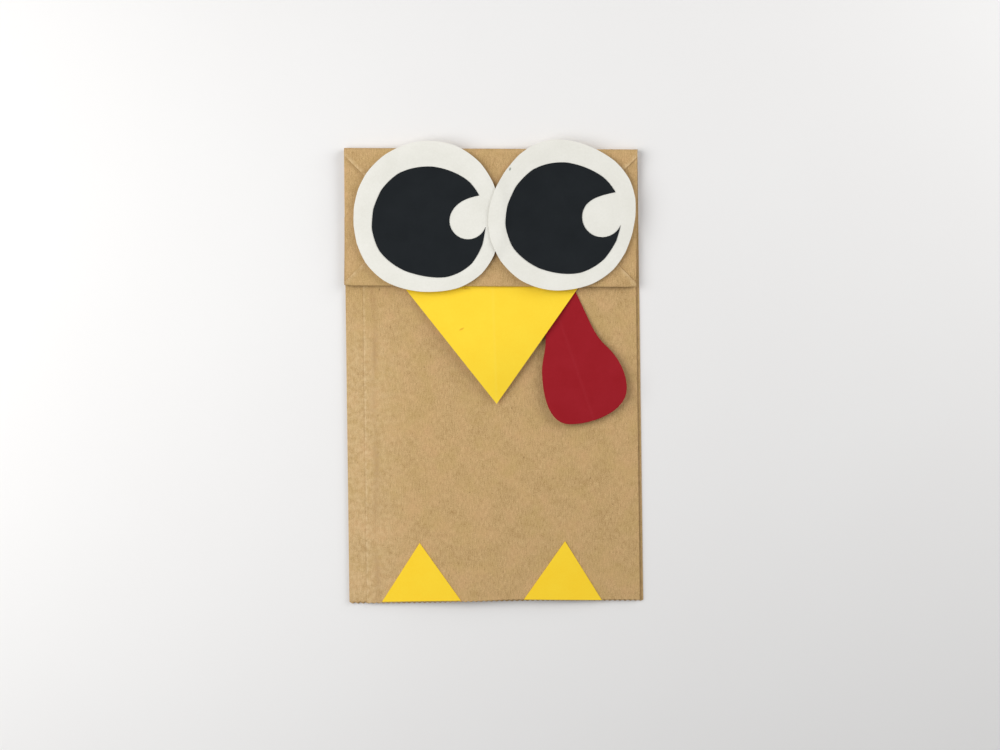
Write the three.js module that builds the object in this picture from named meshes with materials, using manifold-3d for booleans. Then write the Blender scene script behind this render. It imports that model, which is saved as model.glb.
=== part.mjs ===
// Paper bag puppet: a flattened block-bottom bag whose folded-down bottom is the head, with cut-paper
// eyes, beak, wattle and feet glued on. Millimetres. It lies on its back panel: +X is to the right,
// +Y towards the top fold, +Z up, and left and right are as seen from the front.
// The bag is one folded sheet, and each panel between two creases is a piece of its own.

import * as THREE from 'three';
import { mergeVertices } from 'three/addons/utils/BufferGeometryUtils.js';
import Module from 'manifold-3d';

const wasm = await Module();
wasm.setup();

// The bag, pressed flat
const BAG_WIDTH = 132;
const BAG_DEPTH = 62;
const TOP_Y = 100.3;
const OPEN_END_Y = -104.1;

// Its layers have slid a little sideways over each other
const BACK_SHIFT = 1.5;
const FRONT_SHIFT = 0.5;
const HEAD_SHIFT = -1.5;

// Every layer of paper, and the air between two layers
const PLY = 0.25;
const GAP = 0.25;
const LAYERS = [
  'back', 'gussetRear', 'gussetFront', 'seamLap', 'front', 'wattle', 'beak', 'lining', 'cheek',
  'endTriangle', 'lowerFlap', 'upperFlap', 'leftEye', 'leftPupil', 'rightEye', 'rightPupil',
];

// The front panel bulges upwards towards the open end
const CROWN_HEIGHT = 6;
const CROWN_START_Y = 20;

// The glued seam on the front
const SEAM_EDGE_X = -58;
const SEAM_OVERLAP = 12;

// The block bottom's two flaps: how far each reaches, and where its 45 degree ends begin
const FLAP_REACH = 39;
const UPPER_FLAP_SHOULDER = 3.5;
const LOWER_FLAP_SHOULDER = 1.8;

// Creases that turn
const CREASE_INSET = 0.5;
const CREASE_CLEARANCE = 0.8;
const BACK_CURL_END = THREE.MathUtils.degToRad(20);
const LIP_CURL_END = THREE.MathUtils.degToRad(200);
const GUSSET_TOP = 20;

// Vertices closer than this are one, and how far a shape to be trimmed runs past its trimming outline
const WELD = 1e-4;
const OVERRUN = 1;

// Cut-paper pieces
const EYES = {
  left: { x: -30.1, y: 69.6, width: 66, height: 67.8, layer: 'leftEye' },
  right: { x: 30.5, y: 70.2, width: 66.2, height: 67.8, layer: 'rightEye' },
};
const PUPILS = {
  left: { x: -28.9, y: 67, width: 52.6, height: 49.6, layer: 'leftPupil' },
  right: { x: 31.3, y: 68.6, width: 52.4, height: 49.8, layer: 'rightPupil' },
};
const NOTCH = { x: 17.6, y: 1.2, lowerTip: -4, upperTip: 28 };
const BEAK = { topX: -0.6, halfWidth: 39, tipX: 1.2, tipY: -14.6, tab: 3, ridge: 1.6, slope: 0.04 };
const WATTLE_SLOPE = 0.03;
const FEET = {
  left: { from: [-50.5, -103.9], to: [-14.9, -103.2], apex: [-33.5, -77.3] },
  right: { from: [13.4, -102.7], to: [48.6, -103.1], apex: [32, -76.5] },
};

// Worked out from the above
const LIP_Y = TOP_Y - BAG_DEPTH;
const LINING_FOLD_Y = TOP_Y - BAG_DEPTH / 2;
const TOP_FOLD_Z = (levelOf('upperFlap') - GAP) / 2;
const TOP_FOLD_RADIUS = TOP_FOLD_Z + GAP + PLY;
const TOP_FOLD_Y = TOP_Y - TOP_FOLD_RADIUS;
const LIP_RADIUS = (levelOf('lowerFlap') + PLY - levelOf('lining')) / 2;
const LIP_AXIS_Y = LIP_Y + LIP_RADIUS;
const LIP_AXIS_Z = levelOf('lining') + LIP_RADIUS;

function paper(color, roughness) {
  return new THREE.MeshStandardMaterial({ color, roughness, metalness: 0 });
}

const kraftPaper = () => paper('#c3a270', 0.85);
const whitePaper = () => paper('#e5e5dd', 0.8);
const blackPaper = () => paper('#222628', 0.75);
const yellowPaper = () => paper('#ffda3c', 0.8);
const redPaper = () => paper('#9c1f29', 0.8);

// Height of a layer's underside where the bag lies flat
function levelOf(layer) {
  return LAYERS.indexOf(layer) * (PLY + GAP);
}

// How far the front bulges above its flat level
function crown(x, y) {
  const along = THREE.MathUtils.smoothstep(-y, -CROWN_START_Y, -OPEN_END_Y);
  const across = Math.cos(Math.PI * (x - FRONT_SHIFT) / BAG_WIDTH);
  return CROWN_HEIGHT * along * across * across;
}

function toSolid(geometry) {
  const bare = geometry.clone();
  bare.deleteAttribute('normal');
  bare.deleteAttribute('uv');
  const merged = mergeVertices(bare, WELD);
  return new wasm.Manifold(new wasm.Mesh({
    numProp: 3,
    vertProperties: new Float32Array(merged.attributes.position.array),
    triVerts: new Uint32Array(merged.index.array),
  }));
}

function toGeometry(solid) {
  const { vertProperties, triVerts } = solid.getMesh();
  const geometry = new THREE.BufferGeometry();
  geometry.setAttribute('position', new THREE.BufferAttribute(vertProperties, 3));
  geometry.setIndex(new THREE.BufferAttribute(triVerts, 1));
  geometry.computeVertexNormals();
  return geometry;
}

function polygon(points) {
  return new THREE.Shape(points.map(([x, y]) => new THREE.Vector2(x, y)));
}

function extrude(shape, depth, curveSegments = 16) {
  return new THREE.ExtrudeGeometry(shape, { depth, curveSegments, bevelEnabled: false });
}

// A flat piece of paper of the given outline
function flatPiece(name, shape, material, layer, curveSegments) {
  const mesh = new THREE.Mesh(extrude(shape, PLY, curveSegments), material);
  mesh.name = name;
  mesh.position.z = levelOf(layer);
  return mesh;
}

// A sheet bent along Y only: its outline in the YZ plane, drawn across the bag's width
function bentAcross(profile, centreX) {
  const geometry = extrude(profile, BAG_WIDTH, 12);
  geometry.rotateX(Math.PI / 2);
  geometry.rotateZ(Math.PI / 2);
  geometry.translate(centreX - BAG_WIDTH / 2, 0, 0);
  return geometry;
}

// A curved sheet over a grid of columns by rows; place(u, v) is a point of its underside
function curvedSheet(columns, rows, place) {
  const positions = [];
  for (const lift of [0, PLY]) {
    for (let row = 0; row <= rows; row += 1) {
      for (let column = 0; column <= columns; column += 1) {
        const [x, y, z] = place(column / columns, row / rows);
        positions.push(x, y, z + lift);
      }
    }
  }
  const upper = (columns + 1) * (rows + 1);
  const at = (column, row) => row * (columns + 1) + column;
  const index = [];
  const quad = (a, b, c, d) => index.push(a, b, c, a, c, d);
  for (let row = 0; row < rows; row += 1) {
    for (let column = 0; column < columns; column += 1) {
      const corners = [at(column, row), at(column + 1, row), at(column + 1, row + 1), at(column, row + 1)];
      quad(...corners.map((corner) => corner + upper));
      quad(...corners.reverse());
    }
  }
  const wall = (a, b) => quad(a, b, b + upper, a + upper);
  for (let column = 0; column < columns; column += 1) {
    wall(at(column, 0), at(column + 1, 0));
    wall(at(column + 1, rows), at(column, rows));
  }
  for (let row = 0; row < rows; row += 1) {
    wall(at(columns, row), at(columns, row + 1));
    wall(at(0, row + 1), at(0, row));
  }
  const geometry = new THREE.BufferGeometry();
  geometry.setAttribute('position', new THREE.Float32BufferAttribute(positions, 3));
  geometry.setIndex(index);
  const closed = mergeVertices(geometry, WELD);
  closed.setIndex(withoutSlivers(Array.from(closed.index.array)));
  closed.computeVertexNormals();
  return closed;
}

// Triangles that kept three different corners after merging
function withoutSlivers(index) {
  const kept = [];
  for (let i = 0; i < index.length; i += 3) {
    const [a, b, c] = index.slice(i, i + 3);
    if (a !== b && b !== c && c !== a) kept.push(a, b, c);
  }
  return kept;
}

function named(name, geometry, material) {
  const mesh = new THREE.Mesh(geometry, material);
  mesh.name = name;
  return mesh;
}

// Back panel: flat on the table, its top curled up into the inside of the top fold
function makeBackPanel() {
  const profile = new THREE.Shape();
  profile.moveTo(OPEN_END_Y, 0);
  profile.absarc(TOP_FOLD_Y, TOP_FOLD_Z, TOP_FOLD_Z, -Math.PI / 2, BACK_CURL_END, false);
  profile.absarc(TOP_FOLD_Y, TOP_FOLD_Z, TOP_FOLD_Z - PLY, BACK_CURL_END, -Math.PI / 2, true);
  profile.lineTo(OPEN_END_Y, PLY);
  return named('back_panel', bentAcross(profile, BACK_SHIFT), kraftPaper());
}

// One half of a side gusset: it tapers to nothing at the top fold, so that it can unfold as the front lifts
function makeGussetHalf(name, layer, shift, side) {
  const widthAt = (y) => (BAG_DEPTH / 2) * (TOP_FOLD_Y - y) / (TOP_FOLD_Y - OPEN_END_Y);
  const topY = TOP_FOLD_Y - GUSSET_TOP;
  const edge = shift + side * (BAG_WIDTH / 2 - CREASE_INSET);
  const creaseAt = (y) => shift + side * (BAG_WIDTH / 2 - widthAt(y));
  const outline = polygon([
    [edge, OPEN_END_Y], [edge, topY], [creaseAt(topY), topY], [creaseAt(OPEN_END_Y), OPEN_END_Y],
  ]);
  return flatPiece(name, outline, kraftPaper(), layer);
}

// Front panel, from the open end to the crease where it folds back as the mouth's lining
function makeFrontPanel() {
  const rightX = FRONT_SHIFT + BAG_WIDTH / 2;
  const geometry = curvedSheet(16, 16, (u, v) => {
    const x = THREE.MathUtils.lerp(SEAM_EDGE_X, rightX, u);
    const y = THREE.MathUtils.lerp(OPEN_END_Y, LINING_FOLD_Y, v);
    return [x, y, levelOf('front') + crown(x, y)];
  });
  return named('front_panel', geometry, kraftPaper());
}

// Seam lap: the strip along the left side that the front panel is pasted over
function makeSeamLap() {
  const leftX = FRONT_SHIFT - BAG_WIDTH / 2;
  const geometry = curvedSheet(4, 16, (u, v) => {
    const x = THREE.MathUtils.lerp(leftX, SEAM_EDGE_X + SEAM_OVERLAP, u);
    const y = THREE.MathUtils.lerp(OPEN_END_Y, LINING_FOLD_Y, v);
    return [x, y, levelOf('seamLap') + crown(x, y)];
  });
  return named('seam_lap', geometry, kraftPaper());
}

// Mouth lining: the end of the front side, folded back under the head and hinged at the lip
function makeMouthLining() {
  const startY = LIP_Y + BEAK.tab + CREASE_CLEARANCE;
  const left = HEAD_SHIFT - BAG_WIDTH / 2;
  const right = HEAD_SHIFT + BAG_WIDTH / 2;
  const outline = polygon([
    [left, startY], [right, startY], [right, LINING_FOLD_Y], [left, LINING_FOLD_Y],
  ]);
  return flatPiece('mouth_lining', outline, kraftPaper(), 'lining');
}

// A triangle along one side of the head, its point towards the middle
function sideTriangle(name, layer, side, inset) {
  const edge = HEAD_SHIFT + side * (BAG_WIDTH / 2 - inset);
  const apexX = HEAD_SHIFT + side * (BAG_WIDTH - BAG_DEPTH) / 2;
  const topY = TOP_FOLD_Y - CREASE_CLEARANCE;
  const bottomY = LIP_AXIS_Y + CREASE_CLEARANCE;
  const outline = polygon([[edge, bottomY], [edge, topY], [apexX, (topY + bottomY) / 2]]);
  return flatPiece(name, outline, kraftPaper(), layer);
}

// Outline of a bottom flap seen from above: full width along its fold, then 45 degree ends
function flapOutline(foldY, shoulderY, freeY) {
  const half = BAG_WIDTH / 2;
  const freeHalf = half - Math.abs(freeY - shoulderY);
  return polygon([
    [HEAD_SHIFT - half, foldY], [HEAD_SHIFT + half, foldY], [HEAD_SHIFT + half, shoulderY],
    [HEAD_SHIFT + freeHalf, freeY], [HEAD_SHIFT - freeHalf, freeY], [HEAD_SHIFT - half, shoulderY],
  ]);
}

function trimToOutline(geometry, outline) {
  const tallEnough = 4 * TOP_FOLD_RADIUS;
  return toGeometry(toSolid(geometry).intersect(toSolid(extrude(outline, tallEnough))));
}

// Upper flap: its fold curls down round the outside of the back panel's curl
function makeUpperFlap() {
  const freeY = TOP_Y - FLAP_REACH;
  const profile = new THREE.Shape();
  profile.absarc(TOP_FOLD_Y, TOP_FOLD_Z, TOP_FOLD_RADIUS, 0, Math.PI / 2, false);
  profile.lineTo(freeY - OVERRUN, TOP_FOLD_Z + TOP_FOLD_RADIUS);
  profile.lineTo(freeY - OVERRUN, TOP_FOLD_Z + TOP_FOLD_RADIUS - PLY);
  profile.absarc(TOP_FOLD_Y, TOP_FOLD_Z, TOP_FOLD_RADIUS - PLY, Math.PI / 2, 0, true);
  const outline = flapOutline(TOP_Y + OVERRUN, TOP_Y - UPPER_FLAP_SHOULDER, freeY);
  return named('upper_bottom_flap', trimToOutline(bentAcross(profile, HEAD_SHIFT), outline), kraftPaper());
}

// Lower flap: its fold is the lip, which curls down to the mouth's lining
function makeLowerFlap() {
  const freeY = LIP_Y + FLAP_REACH;
  const profile = new THREE.Shape();
  profile.moveTo(freeY + OVERRUN, LIP_AXIS_Z + LIP_RADIUS);
  profile.absarc(LIP_AXIS_Y, LIP_AXIS_Z, LIP_RADIUS, Math.PI / 2, LIP_CURL_END, false);
  profile.absarc(LIP_AXIS_Y, LIP_AXIS_Z, LIP_RADIUS - PLY, LIP_CURL_END, Math.PI / 2, true);
  profile.lineTo(freeY + OVERRUN, LIP_AXIS_Z + LIP_RADIUS - PLY);
  const outline = flapOutline(LIP_Y - OVERRUN, LIP_Y + LOWER_FLAP_SHOULDER, freeY);
  return named('lower_bottom_flap', trimToOutline(bentAcross(profile, HEAD_SHIFT), outline), kraftPaper());
}

function makeEye(name, eye) {
  const outline = new THREE.Shape();
  outline.absellipse(eye.x, eye.y, eye.width / 2, eye.height / 2, 0, 2 * Math.PI, false);
  return flatPiece(name, outline, whitePaper(), eye.layer, 28);
}

// Pupil: a disc with its highlight cut out as a round notch that starts at the lower tip and runs out
// straight to the upper one
function makePupil(name, pupil) {
  const a = pupil.width / 2;
  const b = pupil.height / 2;
  const lowerTip = THREE.MathUtils.degToRad(NOTCH.lowerTip);
  const upperTip = THREE.MathUtils.degToRad(NOTCH.upperTip);
  const rim = (angle) => new THREE.Vector2(a * Math.cos(angle), b * Math.sin(angle));
  const fromNotch = (tip) => rim(tip).sub(new THREE.Vector2(NOTCH.x, NOTCH.y));
  const radius = fromNotch(lowerTip).length();
  const reach = fromNotch(upperTip);
  const leaves = reach.angle() + Math.acos(radius / reach.length());
  const outline = new THREE.Shape();
  outline.absellipse(0, 0, a, b, upperTip, lowerTip + 2 * Math.PI, false);
  outline.absarc(NOTCH.x, NOTCH.y, radius, fromNotch(lowerTip).angle(), leaves, true);
  const mesh = flatPiece(name, outline, blackPaper(), pupil.layer, 28);
  mesh.position.x = pupil.x;
  mesh.position.y = pupil.y;
  return mesh;
}

// Beak: a triangle with a low lengthwise ridge, its top edge a glue tab under the lip, its tip standing off
function makeBeak() {
  const height = LIP_Y - BEAK.tipY;
  const tabY = LIP_Y + BEAK.tab;
  const geometry = curvedSheet(8, 8, (u, v) => {
    const y = THREE.MathUtils.lerp(BEAK.tipY, tabY, v);
    const grown = (y - BEAK.tipY) / height;
    const across = 2 * u - 1;
    const x = THREE.MathUtils.lerp(BEAK.tipX, BEAK.topX, grown) + across * BEAK.halfWidth * grown;
    const ridge = BEAK.ridge * (1 - Math.abs(across)) * Math.sin(Math.PI * Math.min(grown, 1));
    return [x, y, levelOf('beak') + ridge + BEAK.slope * Math.max(0, LIP_Y - y)];
  });
  return named('beak', geometry, yellowPaper());
}

// Wattle: a hand-cut drop hung from under the beak's right corner, its lower end standing off
function makeWattle() {
  const outline = new THREE.Shape();
  outline.moveTo(38.2, 36.6);
  outline.bezierCurveTo(32, 28, 23, 22, 23.2, 15);
  outline.bezierCurveTo(23.5, 9, 21.4, 5, 21.6, -1);
  outline.bezierCurveTo(22, -12, 25, -23.8, 34, -23.8);
  outline.bezierCurveTo(44, -24, 60.4, -18, 59.7, -7);
  outline.bezierCurveTo(59.3, 2, 54, 8, 51, 11);
  outline.bezierCurveTo(45, 16, 44, 21, 38.2, 36.6);
  const mesh = flatPiece('wattle', outline, redPaper(), 'wattle', 6);
  const tilt = new THREE.Matrix4().makeShear(0, 0, 0, -WATTLE_SLOPE, 0, 0);
  mesh.geometry.applyMatrix4(tilt);
  mesh.position.z += WATTLE_SLOPE * LIP_Y;
  return mesh;
}

// Foot: a triangle pasted on the front panel, with its base along the open end
function makeFoot(name, foot) {
  const level = levelOf('front') + PLY + GAP;
  const geometry = curvedSheet(6, 4, (u, v) => {
    const baseX = THREE.MathUtils.lerp(foot.from[0], foot.to[0], u);
    const baseY = THREE.MathUtils.lerp(foot.from[1], foot.to[1], u);
    const x = THREE.MathUtils.lerp(baseX, foot.apex[0], v);
    const y = THREE.MathUtils.lerp(baseY, foot.apex[1], v);
    return [x, y, level + crown(x, y)];
  });
  return named(name, geometry, yellowPaper());
}

function group(...children) {
  const made = new THREE.Group();
  made.add(...children);
  return made;
}

const back = group(
  makeBackPanel(),
  makeGussetHalf('gusset_left_rear', 'gussetRear', BACK_SHIFT, -1),
  makeGussetHalf('gusset_right_rear', 'gussetRear', BACK_SHIFT, 1),
);

const front = group(
  makeFrontPanel(),
  makeSeamLap(),
  makeGussetHalf('gusset_left_front', 'gussetFront', FRONT_SHIFT, -1),
  makeGussetHalf('gusset_right_front', 'gussetFront', FRONT_SHIFT, 1),
  makeFoot('foot_left', FEET.left),
  makeFoot('foot_right', FEET.right),
);

const head = group(
  makeUpperFlap(),
  makeLowerFlap(),
  sideTriangle('end_triangle_left', 'endTriangle', -1, 0),
  sideTriangle('end_triangle_right', 'endTriangle', 1, 0),
  sideTriangle('cheek_web_left', 'cheek', -1, CREASE_INSET),
  sideTriangle('cheek_web_right', 'cheek', 1, CREASE_INSET),
  makeMouthLining(),
  makeEye('eye_white_left', EYES.left),
  makePupil('pupil_left', PUPILS.left),
  makeEye('eye_white_right', EYES.right),
  makePupil('pupil_right', PUPILS.right),
  makeBeak(),
  makeWattle(),
);

const puppet = group(back, front, head);

export default puppet;
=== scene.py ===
import math

import bpy
import numpy as np
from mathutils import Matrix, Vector
from mathutils.geometry import delaunay_2d_cdt


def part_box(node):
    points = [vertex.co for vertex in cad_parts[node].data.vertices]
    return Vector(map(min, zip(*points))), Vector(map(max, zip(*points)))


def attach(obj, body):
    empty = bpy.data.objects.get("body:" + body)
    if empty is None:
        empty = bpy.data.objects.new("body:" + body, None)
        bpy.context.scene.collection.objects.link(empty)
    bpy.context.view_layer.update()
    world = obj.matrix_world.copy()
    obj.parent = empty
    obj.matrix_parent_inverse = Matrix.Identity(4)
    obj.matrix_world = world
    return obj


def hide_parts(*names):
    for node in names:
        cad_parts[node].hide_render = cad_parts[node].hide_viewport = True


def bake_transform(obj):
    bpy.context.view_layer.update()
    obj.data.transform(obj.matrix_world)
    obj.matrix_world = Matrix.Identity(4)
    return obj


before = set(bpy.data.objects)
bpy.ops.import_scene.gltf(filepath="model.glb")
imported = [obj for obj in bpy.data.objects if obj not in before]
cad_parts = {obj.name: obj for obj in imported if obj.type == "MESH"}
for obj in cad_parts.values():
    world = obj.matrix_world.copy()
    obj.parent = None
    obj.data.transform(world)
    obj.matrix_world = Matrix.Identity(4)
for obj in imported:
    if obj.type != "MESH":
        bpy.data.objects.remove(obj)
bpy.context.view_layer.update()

# ---- The table, the camera and the light ----
# The puppet lies face up on a pale tabletop and is looked at from straight above, from about a metre.
# Two large soft lamps stand at the left and the upper right, like windows; edges throw faint shadows.
MM = 0.001
VIEW_WIDTH = 450
VIEW_CENTRE = (2.7, -1.65)
LENS = 85
SENSOR = 36


def linear_colour(text):
    """An sRGB hex colour as linear red, green, blue and alpha."""
    parts = [int(text[i:i + 2], 16) / 255 for i in (1, 3, 5)]
    return [c / 12.92 if c <= 0.04045 else ((c + 0.055) / 1.055) ** 2.4 for c in parts] + [1.0]


def add(tree, kind, inputs=None, **settings):
    """A node of that kind: inputs maps a socket to a value, or to an output that it is linked to."""
    made = tree.nodes.new(kind)
    for name, value in settings.items():
        setattr(made, name, value)
    for socket, value in (inputs or {}).items():
        if isinstance(value, bpy.types.NodeSocket):
            tree.links.new(value, made.inputs[socket])
        else:
            made.inputs[socket].default_value = value
    return made


def start_material(name):
    material = bpy.data.materials.new(name)
    material.use_nodes = True
    material.node_tree.nodes.clear()
    return material, material.node_tree


def matt_tabletop():
    """Painted board: matt, with a cloudiness so faint that it only takes the flatness off."""
    material, tree = start_material("matt_painted_tabletop")
    place = add(tree, "ShaderNodeTexCoord")
    cloud = add(tree, "ShaderNodeTexNoise", {"Vector": place.outputs["Object"], "Scale": 9.0, "Detail": 3.0})
    tint = add(tree, "ShaderNodeMix", {
        "Factor": cloud.outputs["Fac"], "A": linear_colour("#ECEAE8"), "B": linear_colour("#EFEEEC"),
    }, data_type="RGBA")
    shader = add(tree, "ShaderNodeBsdfPrincipled", {
        "Base Color": tint.outputs["Result"], "Roughness": 0.75, "IOR": 1.5,
    })
    add(tree, "ShaderNodeOutputMaterial", {"Surface": shader.outputs["BSDF"]})
    return material


scene = bpy.context.scene
scene.view_settings.view_transform = "Standard"

camera_data = bpy.data.cameras.new("camera")
camera_data.lens = LENS
camera_data.sensor_width = SENSOR
camera = bpy.data.objects.new("camera", camera_data)
camera.location = (VIEW_CENTRE[0] * MM, VIEW_CENTRE[1] * MM, (VIEW_WIDTH * LENS / SENSOR + 4) * MM)
scene.collection.objects.link(camera)
scene.camera = camera

bpy.ops.mesh.primitive_grid_add(x_subdivisions=8, y_subdivisions=8, size=6)
table = bpy.context.object
table.name = "tabletop"
table.data.materials.append(matt_tabletop())


def soft_lamp(name, place, size, watts):
    data = bpy.data.lights.new(name, "AREA")
    data.shape = "DISK"
    data.size = size
    data.energy = watts
    lamp = bpy.data.objects.new(name, data)
    lamp.location = place
    lamp.rotation_euler = (-Vector(place)).to_track_quat("-Z", "Y").to_euler()
    scene.collection.objects.link(lamp)


soft_lamp("window_light", (-0.4, 0.06, 0.45), 0.6, 2.95)
soft_lamp("second_window", (0.5, 0.28, 0.35), 0.6, 2.3)

world = bpy.data.worlds.new("pale_room")
world.use_nodes = True
world.node_tree.nodes["Background"].inputs["Color"].default_value = linear_colour("#F4F6FA")
world.node_tree.nodes["Background"].inputs["Strength"].default_value = 0.3
scene.world = world


# ---- Kraft paper ----
# The bag is brown machine-finished kraft, about 60 grams a square metre. Its wood fibres run the length of
# the bag, which gives faint streaks up and down, a cloudy tone, and here and there a dark bark speck.
KRAFT_THICKNESS = 0.12
KRAFT_PALE = "#DAB985"
KRAFT_DEEP = "#A98655"
KRAFT_RED = "#C99A6E"
KRAFT_YELLOW = "#BFA263"
BARK_SPECK = "#7D5B36"
PASTE_MARK = "#A57F52"
# painted light: the paler colour painted on the bag's lit left side and as highlights on cut edges
PAINTED_LIGHT_TINT = "#E6CB9E"
# a wood fibre is a few hundredths of a millimetre wide, too fine to show, so bundles of them are drawn
FIBRE_WIDTH = 0.5
FIBRE_LENGTH = 2.6
BLOTCH_SIZE = 2.4
CLOUD_SIZE = 11.0
GRAIN_SIZE = 0.4
STROKE_WIDTH = 0.45
SPECK_SPACING = 5.0


def kraft_paper():
    """Kraft paper: unbleached pulp, rolled but not coated, so matt, with a faint sheen along the streaks."""
    material, tree = start_material("brown_kraft_paper")
    flat = add(tree, "ShaderNodeAttribute", attribute_name="flat").outputs["Vector"]
    along = add(tree, "ShaderNodeMapping", {
        "Vector": flat, "Scale": (1 / FIBRE_WIDTH, 1 / FIBRE_LENGTH, 1.0),
    }).outputs["Vector"]
    fibres = add(tree, "ShaderNodeTexNoise", {
        "Vector": along, "Scale": 1.0, "Detail": 4.0, "Roughness": 0.6, "Distortion": 0.3,
    }).outputs["Fac"]
    grain = add(tree, "ShaderNodeTexNoise", {
        "Vector": flat, "Scale": 1 / GRAIN_SIZE, "Detail": 3.0, "Roughness": 0.6,
    }).outputs["Fac"]
    blotch = add(tree, "ShaderNodeTexNoise", {
        "Vector": flat, "Scale": 1 / BLOTCH_SIZE, "Detail": 3.0, "Roughness": 0.6,
    }).outputs["Fac"]
    cloud = add(tree, "ShaderNodeTexNoise", {
        "Vector": flat, "Scale": 1 / CLOUD_SIZE, "Detail": 4.0, "Roughness": 0.6,
    })
    tone = fibres
    for layer, weight in ((grain, 1.4), (blotch, 0.3), (cloud.outputs["Fac"], 0.5)):
        tone = add(tree, "ShaderNodeMath", {0: layer, 1: weight, 2: tone}, operation="MULTIPLY_ADD")
        tone = tone.outputs["Value"]
    tone = add(tree, "ShaderNodeMapRange", {
        "Value": tone, "From Min": 1.25, "From Max": 1.95,
    }).outputs["Result"]
    colour = add(tree, "ShaderNodeMix", {
        "Factor": tone, "A": linear_colour(KRAFT_DEEP), "B": linear_colour(KRAFT_PALE),
    }, data_type="RGBA").outputs["Result"]

    # the pulp is redder in one place and yellower in another
    hues = add(tree, "ShaderNodeSeparateColor", {"Color": cloud.outputs["Color"]})
    for hue, shade in (("Red", KRAFT_RED), ("Green", KRAFT_YELLOW)):
        share = add(tree, "ShaderNodeMapRange", {
            "Value": hues.outputs[hue], "From Min": 0.46, "From Max": 0.68, "To Max": 0.32,
        }).outputs["Result"]
        colour = add(tree, "ShaderNodeMix", {
            "Factor": share, "A": colour, "B": linear_colour(shade),
        }, data_type="RGBA").outputs["Result"]

    # single coarse fibres show as short dark strokes
    stroke = add(tree, "ShaderNodeMapping", {
        "Vector": flat, "Scale": (1 / STROKE_WIDTH, 0.3 / STROKE_WIDTH, 1.0), "Location": (31.0, 7.0, 0.0),
    }).outputs["Vector"]
    stroke = add(tree, "ShaderNodeTexNoise", {"Vector": stroke, "Scale": 1.0, "Detail": 2.0}).outputs["Fac"]
    stroke = add(tree, "ShaderNodeMapRange", {
        "Value": stroke, "From Min": 0.35, "From Max": 0.27, "To Max": 0.5,
    }).outputs["Result"]
    colour = add(tree, "ShaderNodeMix", {
        "Factor": stroke, "A": colour, "B": linear_colour(BARK_SPECK),
    }, data_type="RGBA").outputs["Result"]

    # bark specks: rough-edged spots a little longer than wide, in about half of the cells of a coarse net
    ragged = add(tree, "ShaderNodeTexNoise", {"Vector": flat, "Scale": 1.3, "Detail": 2.0}).outputs["Color"]
    nudged = add(tree, "ShaderNodeMix", {
        "Factor": 0.18, "A": flat, "B": ragged,
    }, data_type="RGBA", blend_type="LINEAR_LIGHT").outputs["Result"]
    net = add(tree, "ShaderNodeMapping", {
        "Vector": nudged, "Scale": (1 / SPECK_SPACING, 0.6 / SPECK_SPACING, 1.0),
    }).outputs["Vector"]
    spots = add(tree, "ShaderNodeTexVoronoi", {"Vector": net, "Scale": 1.0, "Randomness": 1.0})
    near = add(tree, "ShaderNodeMapRange", {
        "Value": spots.outputs["Distance"], "From Min": 0.03, "From Max": 0.075,
        "To Min": 1.0, "To Max": 0.0,
    }).outputs["Result"]
    chosen = add(tree, "ShaderNodeSeparateColor", {"Color": spots.outputs["Color"]}).outputs["Red"]
    strength = add(tree, "ShaderNodeMapRange", {
        "Value": chosen, "From Min": 0.45, "From Max": 1.0, "To Min": 0.0, "To Max": 0.85,
    }).outputs["Result"]
    speck = add(tree, "ShaderNodeMath", {0: near, 1: strength}, operation="MULTIPLY").outputs["Value"]
    colour = add(tree, "ShaderNodeMix", {
        "Factor": speck, "A": colour, "B": linear_colour(BARK_SPECK),
    }, data_type="RGBA").outputs["Result"]

    # where paste lies behind the paper it is darker; painted light makes the paper paler on the lit left
    # side and as highlights on cut edges; both are in patches
    for mark, shade in (("paste", PASTE_MARK), ("worn", PAINTED_LIGHT_TINT)):
        share = add(tree, "ShaderNodeAttribute", attribute_name=mark).outputs["Fac"]
        patchy = add(tree, "ShaderNodeMapRange", {
            "Value": blotch, "From Min": 0.4, "From Max": 0.6, "To Min": 0.25,
        }).outputs["Result"]
        share = add(tree, "ShaderNodeMath", {0: share, 1: patchy}, operation="MULTIPLY").outputs["Value"]
        colour = add(tree, "ShaderNodeMix", {
            "Factor": share, "A": colour, "B": linear_colour(shade),
        }, data_type="RGBA").outputs["Result"]

    relief = add(tree, "ShaderNodeMath", {0: fibres, 1: grain}, operation="ADD").outputs["Value"]
    bump = add(tree, "ShaderNodeBump", {"Height": relief, "Strength": 0.35, "Distance": 0.05 * MM})
    rough = add(tree, "ShaderNodeMapRange", {
        "Value": blotch, "To Min": 0.72, "To Max": 0.92,
    }).outputs["Result"]
    shader = add(tree, "ShaderNodeBsdfPrincipled", {
        "Base Color": colour, "Roughness": rough, "IOR": 1.45, "Specular IOR Level": 0.25,
        "Normal": bump.outputs["Normal"],
    })
    add(tree, "ShaderNodeOutputMaterial", {"Surface": shader.outputs["BSDF"]})
    return material


KRAFT = kraft_paper()


# ---- Back panel ----
# The full-length back of the bag, flat on the table. Its open end was cut by a toothed knife, and its top
# end turns up round the top fold, where the bag's bottom is laid over to the front.
TOOTH_PITCH = 2.3
TOOTH_DEPTH = 0.5
BACK_LEVEL = 0.09
BODY_LEAN = 0.0128
BACK_ASIDE = -0.4
BACK_SPREAD = 0.25
BACK_END_LIFT = 0.12
OPEN_END_TILT = 0.0105
HEAD_TILT = 0.0052
HEAD_FOLD_LEVEL = 4.55
UNDERSIDE_PATTERN = 40.0


def box_mm(node):
    low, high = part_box(node)
    return [c / MM for c in low], [c / MM for c in high]


def steps(start, end, size):
    """Evenly spaced values from start to end, no further apart than size."""
    return list(np.linspace(start, end, max(2, int(math.ceil(abs(end - start) / size)) + 1)))


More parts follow.
